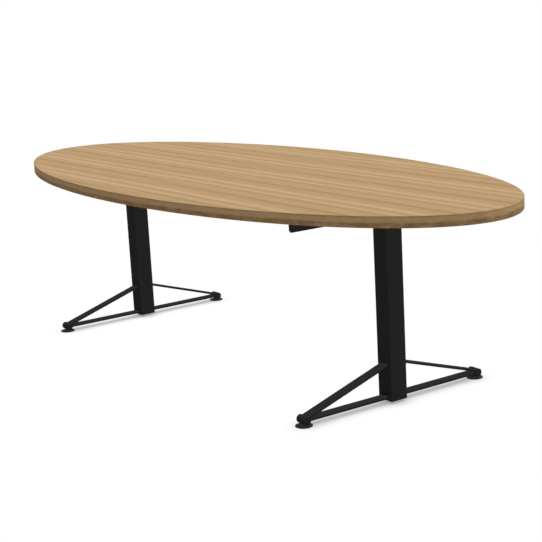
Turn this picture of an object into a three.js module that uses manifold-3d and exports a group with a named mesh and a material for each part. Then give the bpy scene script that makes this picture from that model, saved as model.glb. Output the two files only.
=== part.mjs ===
// Oval conference table: a laminated elliptical top on two black steel T-legs with trussed feet.
// Millimetres, +Z up. The origin is on the floor under the centre of the top, +X runs along the
// top's length and -Y is the near side.
import * as THREE from 'three';
import { mergeVertices } from 'three/addons/utils/BufferGeometryUtils.js';
import Module from 'manifold-3d';

// Tabletop
const TABLE_HEIGHT = 736;
const TOP_LENGTH = 2800;
const TOP_WIDTH = 1200;
const TOP_THICKNESS = 38;
const LAMINATE_THICKNESS = 0.8;
const EDGE_BAND_THICKNESS = 2;
const EDGE_BAND_ROUNDING = 1.5;
const GLUE_LINE = 0.2;

// Columns, square tubes with a plastic plug in the lower end
const COLUMN_SPACING = 1750;
const COLUMN_WIDTH = 70;
const COLUMN_WALL = 3;
const COLUMN_CORNER = 2;
const COLUMN_FLOOR_GAP = 10;
const PLUG_FLANGE = 3;
const PLUG_SKIRT = 14;
const PLUG_WALL = 2.5;

// Arms under the top, flat-oval tubes with domed end caps
const ARM_LENGTH = 800;
const ARM_HEIGHT = 40;
const ARM_WIDTH = 20;
const ARM_WALL = 2;
const CAP_THICKNESS = 4.2;
const CAP_ROUNDING = 4;
const CAP_PLUG = 16;

// Lugs that hold the arms to the top, and their wood screws
const LUG_WIDTH = 30;
const LUG_REACH = 26;
const LUG_THICKNESS = 4;
const LUG_CORNER = 6;
const LUG_HOLE = 6.5;
const LUG_HOLE_INSET = 12;
const LUG_FROM_COLUMN = 85;
const LUG_FROM_ARM_END = 55;
const SCREW_DIAMETER = 5;
const SCREW_LENGTH = 28;
const SCREW_POINT = 6;
const SCREW_HEAD_DIAMETER = 10;
const SCREW_HEAD_CROWN = 7;
const SCREW_HEAD_HEIGHT = 3;

// Beam between the columns, with a bolted plate at each end
const BEAM_HEIGHT = 60;
const BEAM_WIDTH = 20;
const BEAM_WALL = 2;
const BEAM_CORNER = 2.5;
const BEAM_PLATE_THICKNESS = 5;
const BEAM_PLATE_MARGIN = 11;
const BOLT_DIAMETER = 8;
const BOLT_LENGTH = 20;
const BOLT_HEAD_HEIGHT = 5.3;
const BOLT_HEAD_ACROSS_FLATS = 13;
const BOLT_SPANNER_ROOM = 1.5;

// Trussed feet, flat bars that run into a round cross boss above each glide
const FOOT_REACH = 388;
const FOOT_BAR_WIDTH = 40;
const FOOT_BAR_THICKNESS = 8;
const FOOT_BAR_DROP = 0.4;
const BRACE_SEAT_HEIGHT = 138;
const BRACE_RISE = 5.5;
const BOSS_DIAMETER = 30;
const BOSS_LENGTH = 44;
const BOSS_CHAMFER = 1;
const SPOT_FACE_DEPTH = 0.8;
const SPOT_FACE_MARGIN = 1;

// Levelling glides, a threaded spindle with a round pad moulded on its head
const PAD_DIAMETER = 60;
const PAD_HEIGHT = 7.8;
const PAD_RIM = 3.6;
const PAD_EDGE = 1.5;
const PAD_HUB_DIAMETER = 26;
const PAD_FLOOR = 2;
const SPINDLE_HEAD_DIAMETER = 16;
const SPINDLE_HEAD_HEIGHT = 2.4;
const THREAD_DIAMETER = 10;
const THREAD_LENGTH = 21;
const THREAD_TIP = 1.2;
const THREAD_HOLE_RUNOUT = 2;

// Clearances
const SEAT_GAP = 0.3;
const RUNNING_FIT = 0.2;

// Facets
const RIM_SEGMENTS = 96;
const ROUND_SEGMENTS = 24;
const THREAD_SEGMENTS = 16;
const SCREW_SEGMENTS = 10;
const CORNER_SEGMENTS = 3;
const OVAL_SEGMENTS = 8;

// Heights and places that follow from the sizes above
const underside = TABLE_HEIGHT - TOP_THICKNESS;
const coreBottom = underside + LAMINATE_THICKNESS;
const coreTop = TABLE_HEIGHT - LAMINATE_THICKNESS;
const columnFace = COLUMN_WIDTH / 2;
const columnBottom = COLUMN_FLOOR_GAP + PLUG_FLANGE;
const armCentre = underside - SEAT_GAP - ARM_HEIGHT / 2;
const armEnd = ARM_LENGTH / 2;
const lugBottom = underside - LUG_THICKNESS;
const lugOffsets = { inner: columnFace + LUG_FROM_COLUMN, outer: armEnd - LUG_FROM_ARM_END };
const beamCentre = underside - BEAM_HEIGHT / 2;
const beamPlateFace = columnFace + BEAM_PLATE_THICKNESS;
const bossRadius = BOSS_DIAMETER / 2;
const spotFace = PAD_HEIGHT + SEAT_GAP;
const bossHeight = spotFace - SPOT_FACE_DEPTH + bossRadius;
const footBarHeight = bossHeight - FOOT_BAR_DROP;
const threadTop = spotFace + THREAD_LENGTH;

const SIDES = [{ name: 'near', direction: -1 }, { name: 'far', direction: 1 }];
const LEGS = [
  { name: 'right', x: COLUMN_SPACING / 2, turned: false },
  { name: 'left', x: -COLUMN_SPACING / 2, turned: true },
];

const wasm = await Module();
wasm.setup();

function finish(color, roughness, metalness = 0) {
  return new THREE.MeshStandardMaterial({ color, roughness, metalness });
}

const decor = finish(0xbb9c74, 0.5);
const edging = finish(0xa2855f, 0.55);
const chipboard = finish(0xb5966a, 0.9);
const blackSteel = finish(0x222222, 0.6);
const blackPlastic = finish(0x242424, 0.45);
const zincSteel = finish(0xb4b6b8, 0.35, 1);

// Joining and cutting

function toSolid(geometry) {
  const bare = geometry.clone();
  bare.deleteAttribute('normal');
  bare.deleteAttribute('uv');
  const merged = mergeVertices(bare);
  const index = merged.getIndex().array;
  const triangles = [];
  for (let i = 0; i < index.length; i += 3) {
    const [a, b, c] = index.slice(i, i + 3);
    if (a !== b && b !== c && c !== a) triangles.push(a, b, c);
  }
  return new wasm.Manifold(new wasm.Mesh({
    numProp: 3,
    vertProperties: new Float32Array(merged.getAttribute('position').array),
    triVerts: new Uint32Array(triangles),
  }));
}

function toGeometry(solid) {
  const mesh = solid.getMesh();
  const geometry = new THREE.BufferGeometry();
  geometry.setAttribute('position', new THREE.BufferAttribute(mesh.vertProperties, 3));
  geometry.setIndex(new THREE.BufferAttribute(mesh.triVerts, 1));
  geometry.computeVertexNormals();
  return geometry;
}

function cut(geometry, tools) {
  const solid = tools.reduce((rest, tool) => rest.subtract(toSolid(tool)), toSolid(geometry));
  return toGeometry(solid);
}

function join(first, second) {
  return toGeometry(toSolid(first).add(toSolid(second)));
}

// Basic forms

const ALONG = {
  x: new THREE.Matrix4().set(0, 0, 1, 0, 1, 0, 0, 0, 0, 1, 0, 0, 0, 0, 0, 1),
  y: new THREE.Matrix4().set(0, 1, 0, 0, 0, 0, 1, 0, 1, 0, 0, 0, 0, 0, 0, 1),
  z: new THREE.Matrix4(),
};

// An outline drawn in YZ, ZX or XY and extruded along X, Y or Z. Its ends lie exactly at the two
// given places, so that flat faces of neighbours meet without overlapping.
function prism(outline, axis, start, end, curveSegments = CORNER_SEGMENTS) {
  const settings = { depth: 1, bevelEnabled: false, curveSegments };
  const geometry = new THREE.ExtrudeGeometry(outline, settings);
  const position = geometry.getAttribute('position');
  for (let i = 0; i < position.count; i += 1) {
    position.setZ(i, position.getZ(i) > 0.5 ? end : start);
  }
  return geometry.applyMatrix4(ALONG[axis]);
}

// A profile of [radius, height] points turned about the Z axis.
function turned(profile, segments) {
  const points = profile.map(([radius, height]) => new THREE.Vector2(radius, height));
  return new THREE.LatheGeometry(points, segments).rotateX(Math.PI / 2);
}

function rod(radius, bottom, top, segments) {
  return turned([[0, bottom], [radius, bottom], [radius, top], [0, top]], segments);
}

// A regular polygon, for a hexagon or for a round hole.
function polygon(x, y, radius, sides) {
  const corners = [];
  for (let i = 0; i < sides; i += 1) {
    const angle = 2 * Math.PI * (i + 0.5) / sides;
    corners.push(new THREE.Vector2(x + radius * Math.cos(angle), y + radius * Math.sin(angle)));
  }
  return new THREE.Shape(corners);
}

function roundedRectangle(width, depth, radius) {
  const x = width / 2 - radius;
  const y = depth / 2 - radius;
  const outline = new THREE.Shape();
  outline.absarc(x, y, radius, 0, Math.PI / 2);
  outline.absarc(-x, y, radius, Math.PI / 2, Math.PI);
  outline.absarc(-x, -y, radius, Math.PI, 1.5 * Math.PI);
  outline.absarc(x, -y, radius, 1.5 * Math.PI, 2 * Math.PI);
  outline.closePath();
  return outline;
}

function rectangularTube(width, depth, corner, wall) {
  const outline = roundedRectangle(width, depth, corner);
  const innerCorner = Math.max(corner - wall, wall / 4);
  outline.holes.push(roundedRectangle(width - 2 * wall, depth - 2 * wall, innerCorner));
  return outline;
}

// A flat oval with its long axis along the first coordinate.
function flatOval(length, width, offset = 0) {
  const radius = width / 2;
  const straight = length / 2 - radius;
  const outline = new THREE.Shape();
  outline.absarc(offset + straight, 0, radius, -Math.PI / 2, Math.PI / 2);
  outline.absarc(offset - straight, 0, radius, Math.PI / 2, 1.5 * Math.PI);
  outline.closePath();
  return outline;
}

// Tabletop: chipboard core, laminate on both faces and an edge band round all three

// A point at a turn of the elliptical rim, moved inwards square to the rim.
function rimPoint(angle, inset) {
  const halfLength = TOP_LENGTH / 2;
  const halfWidth = TOP_WIDTH / 2;
  const outward = new THREE.Vector2(halfWidth * Math.cos(angle), halfLength * Math.sin(angle)).normalize();
  const point = new THREE.Vector2(halfLength * Math.cos(angle), halfWidth * Math.sin(angle));
  return point.addScaledVector(outward, -inset);
}

function boardOutline() {
  const points = [];
  for (let i = 0; i < RIM_SEGMENTS; i += 1) {
    points.push(rimPoint(2 * Math.PI * i / RIM_SEGMENTS, EDGE_BAND_THICKNESS + GLUE_LINE));
  }
  return new THREE.Shape(points);
}

// The band's section, turned as a ring and then laid along the rim of the ellipse.
function edgeBand() {
  const ringRadius = TOP_WIDTH / 2;
  const inner = ringRadius - EDGE_BAND_THICKNESS;
  const arris = EDGE_BAND_ROUNDING;
  const lower = [];
  const upper = [];
  for (let i = 0; i <= CORNER_SEGMENTS; i += 1) {
    const angle = i * Math.PI / 2 / CORNER_SEGMENTS;
    const radius = ringRadius - arris * (1 - Math.cos(angle));
    const drop = arris * (1 - Math.sin(angle));
    lower.unshift([radius, underside + drop]);
    upper.push([radius, TABLE_HEIGHT - drop]);
  }
  const profile = [[inner, underside], ...lower, ...upper, [inner, TABLE_HEIGHT], [inner, underside]];
  const geometry = turned(profile, RIM_SEGMENTS);
  const position = geometry.getAttribute('position');
  for (let i = 0; i < position.count; i += 1) {
    const x = position.getX(i);
    const y = position.getY(i);
    const rim = rimPoint(Math.atan2(y, x), ringRadius - Math.hypot(x, y));
    position.setXY(i, rim.x, rim.y);
  }
  return geometry;
}

function screwSpots() {
  const spots = [];
  for (const leg of LEGS) {
    const inward = leg.turned ? 1 : -1;
    for (const side of SIDES) {
      for (const offset of Object.values(lugOffsets)) {
        spots.push([leg.x + inward * lugHoleX(), side.direction * offset]);
      }
    }
  }
  return spots;
}

function core() {
  const holeRadius = SCREW_DIAMETER / 2 + SEAT_GAP;
  const holeTop = lugBottom + SCREW_LENGTH + SEAT_GAP;
  const holes = screwSpots().map(
    ([x, y]) => rod(holeRadius, underside, holeTop, SCREW_SEGMENTS).translate(x, y, 0),
  );
  return cut(prism(boardOutline(), 'z', coreBottom, coreTop), holes);
}

function backer() {
  const outline = boardOutline();
  const holeRadius = SCREW_DIAMETER / 2 + SEAT_GAP;
  for (const [x, y] of screwSpots()) outline.holes.push(polygon(x, y, holeRadius, SCREW_SEGMENTS));
  return prism(outline, 'z', underside, coreBottom);
}

// Legs, each in a frame with Z up the column and the middle of the table towards -X

// The square tube, notched at the top for the arm and drilled for the beam's bolts.
function columnTube() {
  const section = rectangularTube(COLUMN_WIDTH, COLUMN_WIDTH, COLUMN_CORNER, COLUMN_WALL);
  const notch = flatOval(2 * ARM_HEIGHT, ARM_WIDTH + 2 * SEAT_GAP, armCentre + ARM_HEIGHT / 2 - SEAT_GAP);
  const tools = [prism(notch, 'y', -COLUMN_WIDTH, COLUMN_WIDTH, OVAL_SEGMENTS)];
  for (const side of SIDES) {
    tools.push(prism(boltHole(side), 'x', -COLUMN_WIDTH, 0));
  }
  return cut(prism(section, 'z', columnBottom, underside), tools);
}

function columnPlug() {
  const flange = prism(
    roundedRectangle(COLUMN_WIDTH, COLUMN_WIDTH, COLUMN_CORNER), 'z', COLUMN_FLOOR_GAP, columnBottom,
  );
  const skirtWidth = COLUMN_WIDTH - 2 * (COLUMN_WALL + SEAT_GAP);
  const skirt = prism(
    rectangularTube(skirtWidth, skirtWidth, COLUMN_CORNER, PLUG_WALL),
    'z', columnBottom - PLUG_FLANGE / 2, columnBottom + PLUG_SKIRT,
  );
  return join(flange, skirt);
}

function topArm() {
  const section = flatOval(ARM_HEIGHT, ARM_WIDTH, armCentre);
  section.holes.push(flatOval(ARM_HEIGHT - 2 * ARM_WALL, ARM_WIDTH - 2 * ARM_WALL, armCentre));
  return prism(section, 'y', -armEnd, armEnd, OVAL_SEGMENTS);
}

// A cap with a rounded outer edge and a plug that fits inside the arm.
function armCap() {
  const rounding = Math.min(CAP_ROUNDING, CAP_THICKNESS);
  const domeSettings = {
    depth: 2 * (CAP_THICKNESS - rounding),
    bevelThickness: rounding,
    bevelSize: rounding,
    bevelOffset: -rounding,
    bevelSegments: CORNER_SEGMENTS,
    curveSegments: OVAL_SEGMENTS,
  };
  const dome = new THREE.ExtrudeGeometry(flatOval(ARM_HEIGHT, ARM_WIDTH), domeSettings);
  dome.translate(0, 0, armEnd - CAP_THICKNESS + rounding).applyMatrix4(ALONG.y).translate(0, 0, armCentre);
  const inside = roundedRectangle(2 * ARM_HEIGHT, 2 * ARM_HEIGHT, CAP_ROUNDING);
  const innerHalf = prism(inside, 'y', armEnd - 2 * CAP_THICKNESS, armEnd).translate(0, 0, armCentre);
  const plugGap = 2 * (ARM_WALL + SEAT_GAP);
  const plugSection = flatOval(ARM_HEIGHT - plugGap, ARM_WIDTH - plugGap, armCentre);
  const plug = prism(plugSection, 'y', armEnd - CAP_PLUG, armEnd + CAP_THICKNESS / 2, OVAL_SEGMENTS);
  return join(cut(dome, [innerHalf]), plug);
}

// Distance from the arm's middle plane to the lug's welded edge, where it meets the arm's round top.
function lugEdge() {
  const radius = ARM_WIDTH / 2;
  const aboveCentre = Math.max(radius - LUG_THICKNESS, 0);
  return Math.sqrt(radius ** 2 - aboveCentre ** 2) + SEAT_GAP;
}

function lugHoleX() {
  return lugEdge() + LUG_REACH - LUG_HOLE_INSET;
}

function fixingLug() {
  const inner = -lugEdge();
  const outer = inner - LUG_REACH;
  const half = LUG_WIDTH / 2;
  const outline = new THREE.Shape();
  outline.moveTo(inner, -half);
  outline.lineTo(inner, half);
  outline.absarc(outer + LUG_CORNER, half - LUG_CORNER, LUG_CORNER, Math.PI / 2, Math.PI);
  outline.absarc(outer + LUG_CORNER, LUG_CORNER - half, LUG_CORNER, Math.PI, 1.5 * Math.PI);
  outline.closePath();
  outline.holes.push(polygon(-lugHoleX(), 0, LUG_HOLE / 2, SCREW_SEGMENTS));
  return prism(outline, 'z', lugBottom, underside);
}

function lugScrew() {
  const radius = SCREW_DIAMETER / 2;
  const headRadius = SCREW_HEAD_DIAMETER / 2;
  const headBottom = lugBottom - SCREW_HEAD_HEIGHT;
  const tip = lugBottom + SCREW_LENGTH;
  return turned([
    [0, headBottom],
    [SCREW_HEAD_CROWN / 2, headBottom],
    [headRadius, headBottom + SCREW_HEAD_HEIGHT / 2],
    [headRadius, lugBottom],
    [radius, lugBottom],
    [radius, tip - SCREW_POINT],
    [0, tip],
  ], SCREW_SEGMENTS).translate(-lugHoleX(), 0, 0);
}

// Distance of the beam's bolts from its middle plane, with room for a spanner beside the tube.
function boltOffset() {
  return BEAM_WIDTH / 2 + BOLT_SPANNER_ROOM + BOLT_HEAD_ACROSS_FLATS / Math.sqrt(3);
}

function boltHole(side) {
  return polygon(side.direction * boltOffset(), beamCentre, BOLT_DIAMETER / 2 + SEAT_GAP, THREAD_SEGMENTS);
}

function beamPlate() {
  const halfWidth = boltOffset() + BEAM_PLATE_MARGIN;
  const outline = new THREE.Shape();
  outline.moveTo(-halfWidth, underside - BEAM_HEIGHT);
  outline.lineTo(halfWidth, underside - BEAM_HEIGHT);
  outline.lineTo(halfWidth, underside);
  outline.lineTo(-halfWidth, underside);
  outline.closePath();
  for (const side of SIDES) outline.holes.push(boltHole(side));
  return prism(outline, 'x', -beamPlateFace, -columnFace);
}

function beamBolt() {
  const hexagon = polygon(0, 0, BOLT_HEAD_ACROSS_FLATS / Math.sqrt(3), 6);
  const head = prism(hexagon, 'z', -BOLT_HEAD_HEIGHT, 0);
  const shank = rod(BOLT_DIAMETER / 2, -BOLT_HEAD_HEIGHT / 2, BOLT_LENGTH, THREAD_SEGMENTS);
  return join(head, shank).rotateY(Math.PI / 2).translate(-beamPlateFace, 0, beamCentre);
}

function beam() {
  const end = COLUMN_SPACING / 2 - beamPlateFace - SEAT_GAP;
  const section = rectangularTube(BEAM_WIDTH, BEAM_HEIGHT, BEAM_CORNER, BEAM_WALL);
  return prism(section, 'x', -end, end).translate(0, 0, beamCentre);
}

// Feet: a flat bar and a raking brace, both coped to the cross boss, drawn on the far side

// The end of a bar that is cut to the boss, between two heights of its faces from the boss's axis.
function cope(outline, rake, lower, upper) {
  const radius = bossRadius + SEAT_GAP;
  const start = Math.PI - rake - Math.asin(lower / radius);
  const end = Math.PI - rake - Math.asin(upper / radius);
  outline.absarc(FOOT_REACH, bossHeight, radius, start, end, true);
  outline.closePath();
}

function footBar() {
  const half = FOOT_BAR_THICKNESS / 2;
  const outline = new THREE.Shape();
  outline.moveTo(columnFace, footBarHeight + half);
  outline.lineTo(columnFace, footBarHeight - half);
  cope(outline, 0, -FOOT_BAR_DROP - half, half - FOOT_BAR_DROP);
  return prism(outline, 'x', -FOOT_BAR_WIDTH / 2, FOOT_BAR_WIDTH / 2);
}

function footBrace() {
  const half = FOOT_BAR_THICKNESS / 2;
  const rake = Math.atan2(BRACE_SEAT_HEIGHT - bossHeight - BRACE_RISE, FOOT_REACH - columnFace);
  const rise = BRACE_RISE * Math.cos(rake);
  const outline = new THREE.Shape();
  outline.moveTo(columnFace, BRACE_SEAT_HEIGHT + half / Math.cos(rake));
  outline.lineTo(columnFace, BRACE_SEAT_HEIGHT - half / Math.cos(rake));
  cope(outline, rake, rise - half, rise + half);
  return prism(outline, 'x', -FOOT_BAR_WIDTH / 2, FOOT_BAR_WIDTH / 2);
}

// Radius at which the pad's sloping top clears the boss beside its spot face.
function spotFaceRadius() {
  const hubRadius = PAD_HUB_DIAMETER / 2;
  const slope = (PAD_HEIGHT - PAD_RIM) / (PAD_DIAMETER / 2 - PAD_EDGE - hubRadius);
  return hubRadius + SPOT_FACE_DEPTH / slope + SPOT_FACE_MARGIN;
}

// The cross boss, spot-faced below and drilled up from there for the glide's spindle.
function footBoss() {
  const half = BOSS_LENGTH / 2;
  const bar = turned([
    [0, -half],
    [bossRadius - BOSS_CHAMFER, -half],
    [bossRadius, BOSS_CHAMFER - half],
    [bossRadius, half - BOSS_CHAMFER],
    [bossRadius - BOSS_CHAMFER, half],
    [0, half],
  ], ROUND_SEGMENTS).rotateY(Math.PI / 2).translate(0, 0, bossHeight);
  const seat = rod(spotFaceRadius(), 0, spotFace, ROUND_SEGMENTS);
  const hole = rod(THREAD_DIAMETER / 2 + RUNNING_FIT, 0, threadTop + THREAD_HOLE_RUNOUT, THREAD_SEGMENTS);
  return cut(bar, [seat, hole]).translate(0, FOOT_REACH, 0);
}

function glideSpindle() {
  const headRadius = SPINDLE_HEAD_DIAMETER / 2;
  const radius = THREAD_DIAMETER / 2;
  const headBottom = PAD_FLOOR + RUNNING_FIT;
  const headTop = headBottom + SPINDLE_HEAD_HEIGHT;
  return turned([
    [0, headBottom],
    [headRadius, headBottom],
    [headRadius, headTop],
    [radius, headTop],
    [radius, threadTop - THREAD_TIP],
    [radius - THREAD_TIP, threadTop],
    [0, threadTop],
  ], THREAD_SEGMENTS).translate(0, FOOT_REACH, 0);
}

// The round pad, moulded over the head of the spindle.
function glidePad() {
  const radius = PAD_DIAMETER / 2;
  const lipRadius = THREAD_DIAMETER / 2 + RUNNING_FIT;
  const socketRadius = SPINDLE_HEAD_DIAMETER / 2 + RUNNING_FIT;
  const socketTop = PAD_FLOOR + SPINDLE_HEAD_HEIGHT + 2 * RUNNING_FIT;
  return turned([
    [0, 0],
    [radius - PAD_EDGE, 0],
    [radius, PAD_EDGE],
    [radius, PAD_RIM - PAD_EDGE / 2],
    [radius - PAD_EDGE, PAD_RIM],
    [PAD_HUB_DIAMETER / 2, PAD_HEIGHT],
    [lipRadius, PAD_HEIGHT],
    [lipRadius, socketTop],
    [socketRadius, socketTop],
    [socketRadius, PAD_FLOOR],
    [0, PAD_FLOOR],
  ], ROUND_SEGMENTS).translate(0, FOOT_REACH, 0);
}

// Assembly

function piece(name, geometry, material) {
  const mesh = new THREE.Mesh(geometry, material);
  mesh.name = name;
  return mesh;
}

function halfTurn(geometry, wanted) {
  return wanted ? geometry.rotateZ(Math.PI) : geometry;
}

function tabletop() {
  const group = new THREE.Group();
  group.add(piece('tabletop_core', core(), chipboard));
  group.add(piece('tabletop_laminate', prism(boardOutline(), 'z', coreTop, TABLE_HEIGHT), decor));
  group.add(piece('tabletop_backer', backer(), decor));
  group.add(piece('tabletop_edge_band', edgeBand(), edging));
  return group;
}

function footSide(side) {
  const near = side.direction < 0;
  return [
    piece('arm_cap', halfTurn(armCap(), near), blackPlastic),
    piece('foot_bar', halfTurn(footBar(), near), blackSteel),
    piece('foot_brace', halfTurn(footBrace(), near), blackSteel),
    piece('foot_boss', halfTurn(footBoss(), near), blackSteel),
    piece('glide_spindle', halfTurn(glideSpindle(), near), zincSteel),
    piece('glide_pad', halfTurn(glidePad(), near), blackPlastic),
  ];
}

function fixingSide(leg, side) {
  const boltY = side.direction * boltOffset();
  const pieces = [piece('beam_bolt', halfTurn(beamBolt(), leg.turned).translate(0, boltY, 0), zincSteel)];
  for (const [place, offset] of Object.entries(lugOffsets)) {
    const y = side.direction * offset;
    const lug = halfTurn(fixingLug(), leg.turned).translate(0, y, 0);
    const screw = halfTurn(lugScrew(), leg.turned).translate(0, y, 0);
    pieces.push(piece(`${place}_lug`, lug, blackSteel));
    pieces.push(piece(`${place}_lug_screw`, screw, zincSteel));
  }
  return pieces;
}

function tableLeg(leg) {
  const group = new THREE.Group();
  group.add(piece('column', halfTurn(columnTube(), leg.turned), blackSteel));
  group.add(piece('column_plug', columnPlug(), blackPlastic));
  group.add(piece('top_arm', topArm(), blackSteel));
  group.add(piece('beam_plate', halfTurn(beamPlate(), leg.turned), blackSteel));
  for (const side of SIDES) {
    for (const mesh of [...footSide(side), ...fixingSide(leg, side)]) {
      mesh.name = `${side.name}_${mesh.name}`;
      group.add(mesh);
    }
  }
  for (const mesh of group.children) mesh.name = `${leg.name}_${mesh.name}`;
  group.position.x = leg.x;
  return group;
}

const table = new THREE.Group();
table.add(tabletop());
for (const leg of LEGS) table.add(tableLeg(leg));
table.add(piece('beam', beam(), blackSteel));

export default table;
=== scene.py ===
"""Looks of an oval conference table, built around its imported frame. Metres, +Z up."""
import math

import bmesh
import bpy
from mathutils import Matrix, Vector


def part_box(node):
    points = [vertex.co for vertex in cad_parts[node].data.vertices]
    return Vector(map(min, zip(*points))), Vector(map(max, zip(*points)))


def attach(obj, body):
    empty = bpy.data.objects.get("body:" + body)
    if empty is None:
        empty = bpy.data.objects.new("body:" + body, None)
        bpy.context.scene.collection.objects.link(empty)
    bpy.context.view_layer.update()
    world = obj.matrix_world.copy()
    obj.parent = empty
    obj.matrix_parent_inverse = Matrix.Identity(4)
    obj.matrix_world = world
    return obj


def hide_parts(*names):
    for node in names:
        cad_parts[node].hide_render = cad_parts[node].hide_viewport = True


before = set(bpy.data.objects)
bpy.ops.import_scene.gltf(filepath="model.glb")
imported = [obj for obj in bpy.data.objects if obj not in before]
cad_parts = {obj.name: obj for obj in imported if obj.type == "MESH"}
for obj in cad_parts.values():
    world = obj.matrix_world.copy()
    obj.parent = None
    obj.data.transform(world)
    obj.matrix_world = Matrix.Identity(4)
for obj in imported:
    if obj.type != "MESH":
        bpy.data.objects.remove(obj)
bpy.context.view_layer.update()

# Places and sizes that the frame gives
rim_low, rim_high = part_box("tabletop_edge_band")
sheet_low, sheet_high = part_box("tabletop_laminate")
backer_low, backer_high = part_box("tabletop_backer")
column_low, column_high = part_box("right_column")
arm_low, arm_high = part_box("right_top_arm")
cap_low, cap_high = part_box("right_near_arm_cap")
bar_low, bar_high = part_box("right_near_foot_bar")
boss_low, boss_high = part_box("right_near_foot_boss")
pad_low, pad_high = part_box("right_near_glide_pad")
spindle_low, spindle_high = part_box("right_near_glide_spindle")
screw_low, screw_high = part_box("right_near_inner_lug_screw")
bolt_low, bolt_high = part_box("right_near_beam_bolt")

column_axis = (column_low + column_high) / 2
column_face = column_low.y
boss_centre = (boss_low + boss_high) / 2
boss_radius = (boss_high.y - boss_low.y) / 2
glide_axis = Vector((boss_centre.x, boss_centre.y, 0))
arm_centre = (arm_low + arm_high) / 2
arm_width = arm_high.x - arm_low.x
arm_height = arm_high.z - arm_low.z
screw_axis = (screw_low + screw_high) / 2
bolt_axis = (bolt_low + bolt_high) / 2

# Sizes that a box doesn't show
EDGE_BAND = 0.002
EDGE_ROUNDING = 0.0015
GLUE_LINE = 0.0001
TUBE_WALL = 0.002
CAP_ROUNDING = 0.004
CAP_PLUG_GAP = 0.0023
BAR_EDGE = 0.0007
BAR_THICKNESS = 0.008
BRACE_SEAT = 0.138
BRACE_RISE = 0.0055
WELD_GAP = 0.0002
BOSS_CHAMFER = 0.001
SPOT_FACE_GAP = 0.0003
SPOT_FACE_RADIUS = 0.0172
PAD_RIM = 0.0036
PAD_HUB_RADIUS = 0.013
PAD_ROUNDING = 0.0011
SPINDLE_HEAD = 0.0024
HEAD_CLEARANCE = 0.0002
THREAD_RADIUS = 0.005
THREAD_ROOT = 0.0042
THREAD_PITCH = 0.0015
THREAD_CLEARANCE = 0.0002
THREAD_SINK = 0.0002
TRIANGLE_HEIGHT = 1.5  # in radii of the circle round it
DRILL_RUNOUT = 0.002
SCREW_RADIUS = 0.0025
SCREW_CLEARANCE = 0.0003
SCREW_HEAD = 0.003
SCREW_HEAD_ROUNDING = 0.0016
SCREW_POINT = 0.006
SCREW_TIP_SHARE = 0.12
RECESS_WIDTH = 0.0011
RECESS_LENGTH = 0.0052
RECESS_DEPTH = 0.0016
BOLT_ACROSS_FLATS = 0.013
BOLT_HEAD = 0.0053
BOLT_HEAD_CHAMFER = 0.0009
BOLT_RADIUS = 0.004

# How finely round forms are divided
RIM_POINTS = 288
FINE_ROUND = 96
ROUND = 64
SMALL_ROUND = 40
SPINDLE_ROUND = 48
BOLT_HEAD_ROUND = 72
THREAD_STEPS = 40

# Limits of the tests and clean-ups on meshes
NEAR = 1e-5
MERGE_BELOW = 1e-6
FACING = 0.99
SMOOTH_BELOW = 32
PAD_SMOOTH_BELOW = 20

# Turns and moves from the right near foot, bolt or leg to the others
HALF_TURN = Matrix.Rotation(math.pi, 4, "Z")
LEG_HALF_TURN = (
    Matrix.Translation(column_axis) @ HALF_TURN @ Matrix.Translation(-column_axis)
)
FOOT_PLACES = {
    "right_near": Matrix.Identity(4),
    "right_far": LEG_HALF_TURN,
    "left_far": HALF_TURN,
    "left_near": HALF_TURN @ LEG_HALF_TURN,
}
BOLT_ROW = Matrix.Translation((0, -2 * bolt_axis.y, 0))
BOLT_PLACES = {
    "right_near": Matrix.Identity(4),
    "right_far": BOLT_ROW,
    "left_far": HALF_TURN,
    "left_near": HALF_TURN @ BOLT_ROW,
}

# The lug screws' boxes in the frame
SCREW_BOXES = {
    f"{place}_{lug}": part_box(f"{place}_{lug}_lug_screw")
    for place in FOOT_PLACES for lug in ("inner", "outer")
}

# Turns that lay an upright form along an axis
ALONG_X = (0, math.pi / 2, 0)
ALONG_Y = (math.pi / 2, 0, 0)


# Modelling by hand

def leave_edit():
    if bpy.context.mode != "OBJECT":
        bpy.ops.object.mode_set(mode="OBJECT")


def take(piece):
    """Make one piece the only selected one."""
    leave_edit()
    bpy.ops.object.select_all(action="DESELECT")
    piece.select_set(True)
    bpy.context.view_layer.objects.active = piece


def edit(piece):
    take(piece)
    bpy.ops.object.mode_set(mode="EDIT")
    bpy.ops.mesh.select_all(action="SELECT")


def begin(primitive, **settings):
    """Add a primitive, put its place into its mesh and open it for editing."""
    leave_edit()
    bpy.ops.object.select_all(action="DESELECT")
    primitive(**settings)
    piece = bpy.context.object
    bpy.ops.object.transform_apply(location=True, rotation=True, scale=True)
    edit(piece)
    return piece


def middle(item):
    """The middle of an edge or a face."""
    return sum((v.co for v in item.verts), Vector()) / len(item.verts)


def pick(piece, kind, test):
    """Select the vertices, edges or faces that pass a test."""
    bpy.ops.mesh.select_mode(type=kind)
    bpy.ops.mesh.select_all(action="DESELECT")
    mesh = bmesh.from_edit_mesh(piece.data)
    items = {"VERT": mesh.verts, "EDGE": mesh.edges, "FACE": mesh.faces}[kind]
    for item in items:
        if test(item):
            item.select_set(True)
    mesh.select_flush_mode()
    bmesh.update_edit_mesh(piece.data)


def pick_facing(piece, direction):
    """Select the faces that look one way."""
    pick(piece, "FACE", lambda face: face.normal.dot(Vector(direction)) > FACING)


def extrude(x=0.0, y=0.0, z=0.0):
    bpy.ops.mesh.extrude_region_move(TRANSFORM_OT_translate={"value": (x, y, z)})


def shift(x=0.0, y=0.0, z=0.0):
    bpy.ops.transform.translate(value=(x, y, z))


def bevel(width, segments):
    bpy.ops.mesh.bevel(offset=width, segments=segments, affect="EDGES")


def inset(width):
    bpy.ops.mesh.inset(thickness=width, use_even_offset=True)


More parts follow.
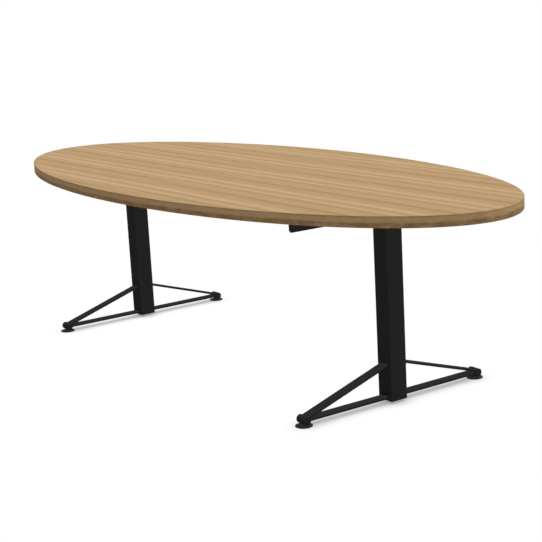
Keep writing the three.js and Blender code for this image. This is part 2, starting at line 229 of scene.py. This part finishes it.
def outward_normals():
    """Merge doubles and turn all faces outwards."""
    bpy.ops.mesh.select_all(action="SELECT")
    bpy.ops.mesh.remove_doubles(threshold=MERGE_BELOW)
    bpy.ops.mesh.normals_make_consistent(inside=False)


def modify(piece, kind, **settings):
    """Add a modifier to a piece and apply it."""
    take(piece)
    modifier = piece.modifiers.new(kind.lower(), kind)
    for name, value in settings.items():
        setattr(modifier, name, value)
    bpy.ops.object.modifier_apply(modifier=modifier.name)
    edit(piece)


def combine(piece, other, operation):
    """Cut, join or trim a piece by another form, which is used up."""
    outward_normals()
    modify(piece, "BOOLEAN", operation=operation, object=other, solver="EXACT")
    leave_edit()
    bpy.data.objects.remove(other)
    edit(piece)


def round_form(centre, radius, length, turn=(0, 0, 0), vertices=ROUND):
    """A round form to cut or join with, upright unless it is turned."""
    form = begin(
        bpy.ops.mesh.primitive_cylinder_add,
        vertices=vertices, radius=radius, depth=length, location=centre, rotation=turn,
    )
    outward_normals()
    leave_edit()
    return form


def block_form(centre, size):
    """A block to cut with."""
    form = begin(bpy.ops.mesh.primitive_cube_add, size=1.0, location=centre, scale=size)
    outward_normals()
    leave_edit()
    return form


def close_up(piece, name, smooth_below=SMOOTH_BELOW):
    """Clean a piece's mesh, shade it and give it its name."""
    outward_normals()
    take(piece)
    bpy.ops.object.shade_smooth_by_angle(angle=math.radians(smooth_below))
    piece.name = name
    piece.data.name = name
    return piece


def copy_of(piece, name, turn):
    """A copy with a mesh of its own, moved to another place."""
    mesh = piece.data.copy()
    mesh.transform(turn)
    mesh.name = name
    other = bpy.data.objects.new(name, mesh)
    bpy.context.scene.collection.objects.link(other)
    return other


def dress(piece, finish, slot, body, *nodes):
    """Give a piece its finish and body, and hide the nodes that it stands for."""
    piece.data.materials.clear()
    piece.data.materials.append(finish)
    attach(piece, body)
    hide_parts(*nodes)


def dress_four(model, places, part, finish, slot, body, node):
    """Copy a piece of the right near foot or bolt to all four places and dress the copies."""
    for place, turn in places.items():
        piece = copy_of(model, f"{part}_{place}", turn)
        dress(piece, finish, slot, body.format(place), f"{place}_{node}")
    bpy.data.objects.remove(model)


# Shading

class Value:
    """An output of a shader node, with numbers worked out by operators."""

    def __init__(self, shading, socket):
        self.shading = shading
        self.socket = socket

    def __add__(self, other):
        return self.shading.math("ADD", self, other)

    def __radd__(self, other):
        return self.shading.math("ADD", other, self)

    def __sub__(self, other):
        return self.shading.math("SUBTRACT", self, other)

    def __rsub__(self, other):
        return self.shading.math("SUBTRACT", other, self)

    def __mul__(self, other):
        return self.shading.math("MULTIPLY", self, other)

    def __rmul__(self, other):
        return self.shading.math("MULTIPLY", other, self)

    def __truediv__(self, other):
        return self.shading.math("DIVIDE", self, other)


class Shading:
    """The nodes of a material or of the world."""

    def __init__(self, owner):
        owner.use_nodes = True
        self.tree = owner.node_tree
        self.tree.nodes.clear()

    def node(self, kind, settings=None, sockets=None, output=0):
        """Add a node, set it up, fill its sockets and return one of its outputs."""
        node = self.tree.nodes.new(kind)
        for name, value in (settings or {}).items():
            if name == "stops":
                self.set_stops(node.color_ramp, value)
            else:
                setattr(node, name, value)
        for name, value in (sockets or {}).items():
            if isinstance(value, Value):
                self.tree.links.new(value.socket, node.inputs[name])
            else:
                node.inputs[name].default_value = value
        return Value(self, node.outputs[output]) if node.outputs else None

    def set_stops(self, ramp, stops):
        while len(ramp.elements) < len(stops):
            ramp.elements.new(1.0)
        for element, (place, colour) in zip(ramp.elements, stops):
            element.position = place
            element.color = colour

    def math(self, operation, *values):
        return self.node("ShaderNodeMath", {"operation": operation}, dict(enumerate(values)))

    def clamp(self, value):
        return self.node("ShaderNodeClamp", sockets={"Value": value})

    def object_xyz(self):
        """Object coordinates as three numbers."""
        place = self.node("ShaderNodeTexCoord", output=3)
        parts = self.node("ShaderNodeSeparateXYZ", sockets={0: place})
        return [Value(self, socket) for socket in parts.socket.node.outputs]

    def noise(self, x, y, z, detail=2.0, roughness=0.5):
        """Noise from 0 to 1 at a point that is already scaled."""
        point = self.node("ShaderNodeCombineXYZ", sockets={0: x, 1: y, 2: z})
        sockets = {"Vector": point, "Scale": 1.0, "Detail": detail, "Roughness": roughness}
        return self.node("ShaderNodeTexNoise", sockets=sockets)

    def even_noise(self, count, **settings):
        """Noise from 0 to 1 with the same count per metre in all directions."""
        x, y, z = self.object_xyz()
        return self.noise(x * count, y * count, z * count, **settings)

    def spots(self, noise, threshold, steepness):
        """1 where noise is well above a threshold, 0 elsewhere."""
        return self.clamp((noise - threshold) * steepness)

    def ramp(self, factor, stops):
        return self.node("ShaderNodeValToRGB", {"stops": stops}, {"Fac": factor})

    def bump(self, height, distance, strength):
        sockets = {"Height": height, "Distance": distance, "Strength": strength}
        return self.node("ShaderNodeBump", sockets=sockets)

    def seen_directly(self):
        """1 for camera, glossy and transmission rays, 0 for light that falls on the object."""
        path = self.node("ShaderNodeLightPath").socket.node.outputs
        camera, glossy, transmission = (
            Value(self, path[f"Is {kind} Ray"]) for kind in ("Camera", "Glossy", "Transmission")
        )
        return self.clamp(camera + glossy + transmission)


def srgb(red, green, blue):
    """A colour given as the 0 to 255 values of a picture."""
    def linear(value):
        share = value / 255
        return share / 12.92 if share <= 0.04045 else ((share + 0.055) / 1.055) ** 2.4
    return (linear(red), linear(green), linear(blue), 1.0)


def finish_of(name, paint):
    """A material whose shader sockets come from a paint function."""
    material = bpy.data.materials.new(name)
    shading = Shading(material)
    shader = shading.node("ShaderNodeBsdfPrincipled", sockets=paint(shading))
    shading.node("ShaderNodeOutputMaterial", sockets={"Surface": shader})
    return material


# Finishes

STRIPE_PERIOD = 0.233
HALVES_BLEND = 0.5

# Lines of the grain: place across the board, width, strength on its left and on its right half
PALE_LINES = [
    (0.028, 0.0115, 0.5, 0.86),
    (-0.026, 0.0105, 0.84, 0.54),
]
DARK_LINES = [
    (0.002, 0.0075, 0.4, 0.4),
    (-0.054, 0.0075, 0.0, 0.68),
    (0.060, 0.0075, 0.68, 0.0),
    (0.106, 0.0085, 0.0, 1.05),
    (0.137, 0.009, 0.95, 0.0),
    (0.084, 0.006, 0.4, 0.4),
]


def grain_lines(s, across, right_half, lines):
    """Soft lines of the grain, repeated across the board."""
    total = 0.0
    for place, width, left, right in lines:
        offset = s.math("FRACT", (across - place) / STRIPE_PERIOD + 0.5) - 0.5
        distance = offset * (STRIPE_PERIOD / width)
        line = s.math("EXPONENT", 0.0 - distance * distance)
        total = line * (right_half * (right - left) + left) + total
    return total


def oak_decor(s):
    """Straight light-oak grain along X: paired pale stripes, darker lines between, fine pores."""
    x, y, _ = s.object_xyz()

    def layer(along, across, depth, **settings):
        """Noise about 0, stretched by its counts per metre along and across the board."""
        return s.noise(x * along, y * across, depth, **settings) - 0.5

    wander = layer(0.9, 1.5, 3.0, detail=1.0) * 0.014
    wisp = layer(3.4, 24.0, 7.0) * 0.011
    bent_y = y + wander + wisp
    right_half = s.clamp(x / HALVES_BLEND + 0.5)
    pale = grain_lines(s, bent_y, right_half, PALE_LINES)
    dark = grain_lines(s, bent_y, right_half, DARK_LINES)
    fade = 1 + layer(1.7, 9.0, 11.0) * 0.7 + layer(5.0, 40.0, 19.0) * 0.7

    fibre = layer(3.6, 210.0, 1.0, detail=3.0, roughness=0.65)
    cloud = layer(1.1, 14.0, 5.0)
    fleck = layer(11.0, 95.0, 13.0, detail=3.0, roughness=0.65)
    strands = layer(5.0, 470.0, 23.0, roughness=0.6)
    dash = s.spots(layer(9.0, 110.0, 17.0), 0.07, 7.0)
    pores = s.spots(layer(26.0, 760.0, 2.0, detail=1.0), 0.12, 9.0)

    tone = 0.55 + (pale * 0.52 - dark * 0.55) * fade * (1 + strands * 1.6)
    tone = tone + fibre * 0.5 + strands * 0.34 + cloud * 0.2
    tone = tone + fleck * 0.46 - dash * 0.22 - pores * 0.34
    colour = s.ramp(tone, [
        (0.0, srgb(167, 135, 91)),
        (0.5, srgb(187, 154, 113)),
        (1.0, srgb(204, 173, 134)),
    ])
    return {
        "Base Color": colour,
        "Roughness": 0.58 + pores * 0.14 + fibre * 0.08,
        "Specular IOR Level": 0.012,
        "Normal": s.bump(fibre * 0.5 - pores, distance=0.0001, strength=0.25),
    }


def oak_edging(s):
    """The band's decor: grain that runs round the rim, darker and mottled in its lower part, with
    a painted shade along its top under the rounded edge.
    """
    x, y, z = s.object_xyz()

    def layer(around, up, **settings):
        """Noise about 0, stretched by its counts per metre around and up the band."""
        return s.noise(x * around, y * around, z * up, **settings) - 0.5

    drift = layer(7.0, 30.0)
    streak = layer(9.0, 420.0, detail=3.0, roughness=0.6)
    mottle = layer(34.0, 80.0, detail=3.0, roughness=0.6)
    pores = s.spots(layer(55.0, 1500.0, detail=1.0), 0.10, 6.0)

    height = (z - rim_low.z) / (rim_high.z - rim_low.z)
    lower = s.clamp((0.52 - height + drift * 0.16) * 7.0)
    # Painted shade: a darker strip along the top of the band, under its rounded edge
    painted_crest_shade = s.spots(height, 0.82, 14.0)
    tone = 0.7 - lower * 0.4 - painted_crest_shade * 0.2
    tone = tone + streak * 0.3 + mottle * (lower * 0.95 + 0.5) - pores * 0.1
    colour = s.ramp(tone, [
        (0.0, srgb(141, 107, 73)),
        (0.3, srgb(163, 128, 90)),
        (0.7, srgb(194, 160, 117)),
        (1.0, srgb(209, 176, 134)),
    ])
    return {
        "Base Color": colour,
        "Roughness": 0.6 + pores * 0.12 + streak * 0.08,
        "Specular IOR Level": 0.012,
        "Normal": s.bump(streak * 0.5 - pores, distance=0.0001, strength=0.2),
    }


def chipboard(s):
    """Pressed chips, pale and dark, as on a sawn face of the core."""
    x, y, z = s.object_xyz()
    chips = s.noise(x * 260.0, y * 260.0, z * 520.0, detail=3.0, roughness=0.7)
    colour = s.ramp(chips, [
        (0.3, srgb(140, 112, 78)),
        (0.55, srgb(186, 155, 112)),
        (0.75, srgb(208, 182, 142)),
    ])
    return {
        "Base Color": colour,
        "Roughness": 0.8 + chips * 0.15,
        "Specular IOR Level": 0.1,
        "Normal": s.bump(chips, distance=0.0006, strength=0.6),
    }


def powder_coat(s):
    """Black powder coat: a fine even grain with a low sheen."""
    grain = s.even_noise(1500.0)
    flow = s.even_noise(60.0)
    colour = s.ramp(flow * 0.5 + grain * 0.5, [
        (0.3, srgb(46, 46, 47)),
        (0.7, srgb(48, 48, 49)),
    ])
    return {
        "Base Color": colour,
        "Roughness": 0.62 + (flow - 0.5) * 0.12,
        "Specular IOR Level": 0.004,
        "Normal": s.bump(grain, distance=0.00008, strength=0.2),
    }


def moulded_plastic(s):
    """Moulded black plastic, a little smoother than the coat."""
    grain = s.even_noise(2600.0, detail=1.0)
    flow = s.even_noise(90.0)
    colour = s.ramp(flow, [
        (0.3, srgb(39, 39, 40)),
        (0.7, srgb(45, 45, 46)),
    ])
    return {
        "Base Color": colour,
        "Roughness": 0.45 + (flow - 0.5) * 0.14,
        "Specular IOR Level": 0.025,
        "Normal": s.bump(grain, distance=0.00006, strength=0.3),
    }


def zinc_plate(s):
    """Bright zinc with a faint cloudy bloom."""
    bloom = s.even_noise(220.0, detail=3.0)
    colour = s.ramp(bloom, [
        (0.3, srgb(172, 174, 176)),
        (0.7, srgb(204, 206, 206)),
    ])
    return {
        "Base Color": colour,
        "Metallic": 1.0,
        "Roughness": 0.28 + bloom * 0.16,
    }


# Tabletop

def oval(height):
    """A filled oval with the rim's outline."""
    piece = begin(
        bpy.ops.mesh.primitive_circle_add,
        vertices=RIM_POINTS, radius=1.0, fill_type="NGON", location=(0, 0, height),
    )
    size = (rim_high.x, rim_high.y, 1)
    bpy.ops.transform.resize(value=size, center_override=(0, 0, height))
    bpy.ops.mesh.select_mode(type="FACE")
    return piece


def board_sheet(name, low, high):
    """A laminate sheet that fills the oval inside the edge band."""
    piece = oval(high.z)
    inset(EDGE_BAND + GLUE_LINE)
    bpy.ops.mesh.select_all(action="INVERT")
    bpy.ops.mesh.delete(type="FACE")
    bpy.ops.mesh.select_all(action="SELECT")
    extrude(z=low.z - high.z)
    return close_up(piece, name)


def balancing_sheet():
    """The sheet under the core, drilled for the lug screws."""
    piece = board_sheet("balancing_sheet", backer_low, backer_high)
    for low, high in SCREW_BOXES.values():
        drill = round_form(
            (low + high) / 2, SCREW_RADIUS + SCREW_CLEARANCE, high.z - low.z,
            vertices=SMALL_ROUND,
        )
        edit(piece)
        combine(piece, drill, "DIFFERENCE")
    return close_up(piece, "balancing_sheet")


def on_rim(edge):
    """True for an edge that runs along the outer rim."""
    level = abs(edge.verts[0].co.z - edge.verts[1].co.z) < NEAR
    inner = 1 - EDGE_BAND / (4 * rim_high.x)
    reach = min(math.hypot(v.co.x / rim_high.x, v.co.y / rim_high.y) for v in edge.verts)
    return level and reach > inner


def edge_band():
    """The ring round the core, with its outer edges rounded over."""
    piece = oval(rim_high.z)
    inset(EDGE_BAND)
    bpy.ops.mesh.delete(type="FACE")
    bpy.ops.mesh.select_all(action="SELECT")
    extrude(z=rim_low.z - rim_high.z)
    outward_normals()
    pick(piece, "EDGE", on_rim)
    bevel(EDGE_ROUNDING, segments=5)
    return close_up(piece, "edging")


# Arms under the top

def oval_section(y, fill):
    """The arm's flat-oval outline across Y."""
    piece = begin(
        bpy.ops.mesh.primitive_circle_add,
        vertices=SMALL_ROUND, radius=arm_width / 2, fill_type=fill,
        location=(arm_centre.x, y, arm_centre.z), rotation=ALONG_Y,
    )
    spread = (arm_height - arm_width) / 2
    pick(piece, "VERT", lambda v: v.co.z > arm_centre.z + NEAR)
    shift(z=spread)
    pick(piece, "VERT", lambda v: v.co.z < arm_centre.z - NEAR)
    shift(z=-spread)
    bpy.ops.mesh.select_mode(type="FACE" if fill == "NGON" else "EDGE")
    bpy.ops.mesh.select_all(action="SELECT")
    return piece


def top_arm():
    """The flat-oval tube, open at both ends."""
    piece = oval_section(arm_low.y, "NOTHING")
    extrude(y=arm_high.y - arm_low.y)
    outward_normals()
    modify(piece, "SOLIDIFY", thickness=TUBE_WALL, offset=-1.0, use_even_offset=True)
    return close_up(piece, "arm")


def arm_cap():
    """A domed cap on the near end of the arm, with a plug inside the tube."""
    piece = oval_section(arm_low.y, "NGON")
    extrude(y=cap_low.y - arm_low.y)
    outward_normals()
    pick(piece, "EDGE", lambda edge: middle(edge).y < cap_low.y + NEAR)
    bevel(CAP_ROUNDING, segments=6)
    outward_normals()
    pick_facing(piece, (0, 1, 0))
    inset(CAP_PLUG_GAP)
    extrude(y=cap_high.y - arm_low.y)
    return close_up(piece, "cap")


# Feet

def flat_bar(centre_z, thickness):
    """A flat bar from the column's near face to the boss's axis, with softened long edges."""
    length = column_face - boss_centre.y
    piece = begin(
        bpy.ops.mesh.primitive_cube_add,
        size=1.0, location=(column_axis.x, column_face - length / 2, centre_z),
        scale=(bar_high.x - bar_low.x, length, thickness),
    )
    pick(piece, "EDGE", lambda edge: abs(edge.verts[0].co.y - edge.verts[1].co.y) > length / 2)
    bevel(BAR_EDGE, segments=2)
    return piece


def boss_round():
    """The boss's round, with the weld's gap."""
    length = 2 * (boss_high.x - boss_low.x)
    return round_form(boss_centre, boss_radius + WELD_GAP, length, ALONG_X, FINE_ROUND)


def foot_bar():
    """The flat bar on the floor side, cut to the boss."""
    cutter = boss_round()
    piece = flat_bar((bar_low.z + bar_high.z) / 2, bar_high.z - bar_low.z)
    combine(piece, cutter, "DIFFERENCE")
    return close_up(piece, "bar")


def foot_brace():
    """A bar whose column end is raised to the brace's seat, cut to the boss."""
    low_end = boss_centre.z + BRACE_RISE
    rise = BRACE_SEAT - low_end
    rake = math.atan2(rise, column_face - boss_centre.y)
    cutter = boss_round()
    piece = flat_bar(low_end, BAR_THICKNESS / math.cos(rake))
    pick(piece, "VERT", lambda v: v.co.y > column_face - NEAR)
    shift(z=rise)
    combine(piece, cutter, "DIFFERENCE")
    return close_up(piece, "brace")


def foot_boss():
    """The round boss, chamfered, spot-faced below and drilled for the spindle."""
    half = (boss_high.x - boss_low.x) / 2
    spot_face = pad_high.z + SPOT_FACE_GAP
    drill_top = spindle_high.z + DRILL_RUNOUT
    seat = round_form(glide_axis, SPOT_FACE_RADIUS, 2 * spot_face)
    drill = round_form(glide_axis, THREAD_RADIUS + THREAD_CLEARANCE, 2 * drill_top)
    piece = begin(
        bpy.ops.mesh.primitive_cylinder_add,
        vertices=FINE_ROUND, radius=boss_radius, depth=2 * half,
        location=boss_centre, rotation=ALONG_X,
    )
    pick(piece, "EDGE", lambda edge: abs(middle(edge).x - boss_centre.x) > half - NEAR)
    bevel(BOSS_CHAMFER, segments=3)
    combine(piece, seat, "DIFFERENCE")
    combine(piece, drill, "DIFFERENCE")
    return close_up(piece, "boss")


def glide_pad():
    """A round pad with a rolled rim, a shallow cone and a hub with a socket for the head."""
    radius = (pad_high.x - pad_low.x) / 2
    head_radius = (spindle_high.x - spindle_low.x) / 2
    head_top = spindle_low.z + SPINDLE_HEAD + HEAD_CLEARANCE
    mouth = THREAD_RADIUS + THREAD_CLEARANCE
    socket = round_form(
        glide_axis + Vector((0, 0, (spindle_low.z - HEAD_CLEARANCE + head_top) / 2)),
        head_radius + HEAD_CLEARANCE, SPINDLE_HEAD + 2 * HEAD_CLEARANCE,
    )
    bore = round_form(
        glide_axis + Vector((0, 0, pad_high.z)),
        mouth, 2 * (pad_high.z - head_top + HEAD_CLEARANCE),
    )
    piece = begin(
        bpy.ops.mesh.primitive_cylinder_add,
        vertices=FINE_ROUND, radius=radius, depth=PAD_RIM,
        location=glide_axis + Vector((0, 0, PAD_RIM / 2)),
    )
    pick(piece, "EDGE", lambda edge: abs(edge.verts[0].co.z - edge.verts[1].co.z) < NEAR)
    bevel(PAD_ROUNDING, segments=4)
    pick_facing(piece, (0, 0, 1))
    inset(radius - PAD_ROUNDING - PAD_HUB_RADIUS)
    shift(z=pad_high.z - PAD_RIM)
    combine(piece, bore, "DIFFERENCE")
    combine(piece, socket, "DIFFERENCE")
    return close_up(piece, "pad", PAD_SMOOTH_BELOW)


def thread_ridge():
    """A triangular ridge wound up the spindle's rod."""
    radius = (THREAD_RADIUS - THREAD_ROOT + THREAD_SINK) / TRIANGLE_HEIGHT
    start = pad_high.z - THREAD_PITCH
    turns = int((spindle_high.z - start) / THREAD_PITCH) - 1
    ridge = begin(
        bpy.ops.mesh.primitive_circle_add,
        vertices=3, radius=radius, fill_type="NOTHING",
        location=(THREAD_RADIUS - radius, 0, start),
        rotation=(math.pi / 2, math.pi / 2, 0),
    )
    modify(
        ridge, "SCREW", axis="Z", angle=2 * math.pi, screw_offset=THREAD_PITCH,
        iterations=turns, steps=THREAD_STEPS, render_steps=THREAD_STEPS,
    )
    bpy.ops.mesh.fill_holes(sides=3)
    outward_normals()
    leave_edit()
    return ridge


def glide_spindle():
    """The spindle: a flat head, a rod as thick as the thread's root, and the thread."""
    head_radius = (spindle_high.x - spindle_low.x) / 2
    piece = begin(
        bpy.ops.mesh.primitive_cylinder_add,
        vertices=SPINDLE_ROUND, radius=head_radius, depth=SPINDLE_HEAD,
        location=(0, 0, spindle_low.z + SPINDLE_HEAD / 2),
    )
    pick_facing(piece, (0, 0, 1))
    inset(head_radius - THREAD_ROOT)
    extrude(z=spindle_high.z - spindle_low.z - SPINDLE_HEAD)
    pick(piece, "EDGE", lambda edge: middle(edge).z > spindle_high.z - NEAR)
    bevel(THREAD_PITCH / 2, segments=2)
    leave_edit()
    ridge = thread_ridge()
    edit(piece)
    combine(piece, ridge, "UNION")
    shift(glide_axis.x, glide_axis.y)
    return close_up(piece, "spindle")


# Fasteners

def lug_screw():
    """A pan-head wood screw with a cross recess, pointing up into the core."""
    head_radius = (screw_high.x - screw_low.x) / 2
    base = Vector((screw_axis.x, screw_axis.y, screw_low.z))
    recesses = [
        block_form(base, (RECESS_LENGTH, RECESS_WIDTH, 2 * RECESS_DEPTH)),
        block_form(base, (RECESS_WIDTH, RECESS_LENGTH, 2 * RECESS_DEPTH)),
    ]
    piece = begin(
        bpy.ops.mesh.primitive_cylinder_add,
        vertices=SMALL_ROUND, radius=head_radius, depth=SCREW_HEAD,
        location=base + Vector((0, 0, SCREW_HEAD / 2)),
    )
    pick(piece, "EDGE", lambda edge: middle(edge).z < base.z + NEAR)
    bevel(SCREW_HEAD_ROUNDING, segments=5)
    pick_facing(piece, (0, 0, 1))
    inset(head_radius - SCREW_RADIUS)
    extrude(z=screw_high.z - base.z - SCREW_HEAD - SCREW_POINT)
    extrude(z=SCREW_POINT)
    bpy.ops.transform.resize(
        value=(SCREW_TIP_SHARE, SCREW_TIP_SHARE, 1),
        center_override=(screw_axis.x, screw_axis.y, screw_high.z),
    )
    for recess in recesses:
        combine(piece, recess, "DIFFERENCE")
    return close_up(piece, "lug_screw")


def beam_bolt():
    """A hexagon-head bolt through the beam's plate into the column, with a chamfered head."""
    corner = BOLT_ACROSS_FLATS / math.sqrt(3)
    length = bolt_high.x - bolt_low.x
    head_middle = Vector((bolt_low.x + BOLT_HEAD / 2, bolt_axis.y, bolt_axis.z))
    shank = round_form(bolt_axis, BOLT_RADIUS, length - BOLT_HEAD, ALONG_X, SMALL_ROUND)
    edit(shank)
    shift(x=BOLT_HEAD / 2)
    leave_edit()
    turned = round_form(head_middle, corner, BOLT_HEAD, ALONG_X, BOLT_HEAD_ROUND)
    edit(turned)
    pick(turned, "EDGE", lambda edge: middle(edge).x < bolt_low.x + NEAR)
    bevel(BOLT_HEAD_CHAMFER, segments=1)
    leave_edit()
    piece = begin(
        bpy.ops.mesh.primitive_cylinder_add,
        vertices=6, radius=corner, depth=BOLT_HEAD, location=head_middle, rotation=ALONG_X,
    )
    combine(piece, turned, "INTERSECT")
    combine(piece, shank, "UNION")
    return close_up(piece, "beam_bolt")


# Finishes and pieces of the table

laminate = finish_of("light_oak_laminate", oak_decor)
edging = finish_of("light_oak_edging", oak_edging)
chips = finish_of("pressed_chips", chipboard)
coat = finish_of("black_powder_coat", powder_coat)
plastic = finish_of("black_moulded_plastic", moulded_plastic)
zinc = finish_of("zinc_plated_steel", zinc_plate)

dress(board_sheet("top_sheet", sheet_low, sheet_high), laminate,
      "decor_laminate", "table", "tabletop_laminate")
dress(balancing_sheet(), laminate, "decor_laminate", "table", "tabletop_backer")
dress(edge_band(), edging, "edge_band", "table", "tabletop_edge_band")

arm_model = top_arm()
for leg, turn in (("right", Matrix.Identity(4)), ("left", HALF_TURN)):
    arm = copy_of(arm_model, f"arm_{leg}", turn)
    dress(arm, coat, "black_steel", "table", f"{leg}_top_arm")
bpy.data.objects.remove(arm_model)

dress_four(arm_cap(), FOOT_PLACES, "cap", plastic, "black_plastic", "table", "arm_cap")
dress_four(foot_bar(), FOOT_PLACES, "bar", coat, "black_steel", "table", "foot_bar")
dress_four(foot_brace(), FOOT_PLACES, "brace", coat, "black_steel", "table", "foot_brace")
dress_four(foot_boss(), FOOT_PLACES, "boss", coat, "black_steel", "table", "foot_boss")
dress_four(glide_pad(), FOOT_PLACES, "pad", plastic, "black_plastic", "{}_pad", "glide_pad")
dress_four(glide_spindle(), FOOT_PLACES, "spindle", zinc, "zinc_steel",
           "{}_spindle", "glide_spindle")
dress_four(beam_bolt(), BOLT_PLACES, "bolt", zinc, "zinc_steel", "table", "beam_bolt")

screw_model = lug_screw()
for place, (low, high) in SCREW_BOXES.items():
    move = Matrix.Translation((low + high) / 2 - screw_axis)
    screw = copy_of(screw_model, f"screw_{place}", move)
    dress(screw, zinc, "zinc_steel", "table", f"{place}_lug_screw")
bpy.data.objects.remove(screw_model)

FRAME_FINISHES = {
    "tabletop_core": chips,
    "column": coat,
    "column_plug": plastic,
    "beam": coat,
    "beam_plate": coat,
    "lug": coat,
}
for name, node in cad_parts.items():
    for ending, finish in FRAME_FINISHES.items():
        if name.endswith(ending):
            for material_slot in node.material_slots:
                material_slot.material = finish


# Camera, light and floor

PICTURE_WIDTH = 542
FLOOR_SIZE = 60.0
SHADOW_SAMPLES = 16


def look_from(place, yaw, pitch, roll, focal_pixels):
    """A camera given by its heading from +Y, its dip, its roll and its focal length."""
    ahead = Vector((
        -math.sin(yaw) * math.cos(pitch), math.cos(yaw) * math.cos(pitch), -math.sin(pitch),
    ))
    level = Vector((math.cos(yaw), math.sin(yaw), 0))
    below = ahead.cross(level)
    right = level * math.cos(roll) + below * math.sin(roll)
    down = below * math.cos(roll) - level * math.sin(roll)
    lens = bpy.data.cameras.new("view")
    lens.lens = focal_pixels * lens.sensor_width / PICTURE_WIDTH
    camera = bpy.data.objects.new("view", lens)
    axes = Matrix((right, -down, -ahead)).transposed().to_4x4()
    camera.matrix_world = Matrix.Translation(place) @ axes
    bpy.context.scene.collection.objects.link(camera)
    bpy.context.scene.camera = camera


def soft_lamp(name, direction, strength, spread):
    """A wide soft lamp that shines along a direction and casts no hard shadow."""
    light = bpy.data.lights.new(name, "SUN")
    light.energy = strength
    light.angle = math.radians(spread)
    light.use_shadow = False
    lamp = bpy.data.objects.new(name, light)
    lamp.rotation_euler = Vector(direction).to_track_quat("-Z", "Y").to_euler()
    bpy.context.scene.collection.objects.link(lamp)


def white_surroundings(level):
    """A world that is seen as white and lights the object evenly."""
    world = bpy.data.worlds.new("studio")
    bpy.context.scene.world = world
    shading = Shading(world)
    seen = shading.seen_directly()
    strength = level + (1 - level) * seen
    light = shading.node("ShaderNodeBackground", sockets={
        "Color": (1.0, 1.0, 1.0, 1.0), "Strength": strength,
    })
    shading.node("ShaderNodeOutputWorld", sockets={"Surface": light})


def white_floor(bounce, darkest, reach):
    """A floor that shows the white behind it, darkened by the object's soft contact shadow.

    A lowered glide and the underside stay in sight through it.
    """
    bpy.ops.object.select_all(action="DESELECT")
    bpy.ops.mesh.primitive_plane_add(size=FLOOR_SIZE)
    floor = bpy.context.object
    floor.name = "floor"
    material = bpy.data.materials.new("white_floor")
    shading = Shading(material)
    open_share = shading.node(
        "ShaderNodeAmbientOcclusion", {"samples": SHADOW_SAMPLES}, {"Distance": reach}, output=1)
    white = shading.node("ShaderNodeBsdfTransparent")
    black = shading.node("ShaderNodeEmission", sockets={"Strength": 0.0})
    seen = shading.node("ShaderNodeMixShader", sockets={
        0: (1 - open_share) * (1 - darkest), 1: white, 2: black,
    })
    lit = shading.node("ShaderNodeBsdfDiffuse", sockets={
        "Color": (bounce, bounce, bounce, 1.0),
    })
    surface = shading.node("ShaderNodeMixShader", sockets={
        0: shading.seen_directly(), 1: lit, 2: seen,
    })
    shading.node("ShaderNodeOutputMaterial", sockets={"Surface": surface})
    floor.data.materials.append(material)


look_from(
    place=Vector((4.2925, -2.8258, 1.4500)),
    yaw=math.radians(55.6172), pitch=math.radians(12.3072), roll=math.radians(3.1255),
    focal_pixels=1322.46,
)
soft_lamp("overhead_lamp", direction=(-0.08, -0.2, -0.977), strength=2.31, spread=40)
soft_lamp("side_lamp", direction=(-0.33, -0.91, -0.25), strength=0.81, spread=30)
soft_lamp("front_lamp", direction=(-0.685, 0.685, -0.25), strength=0.55, spread=30)
white_surroundings(level=0.15)
white_floor(bounce=0.38, darkest=0.28, reach=0.06)
bpy.context.scene.view_settings.view_transform = "Standard"
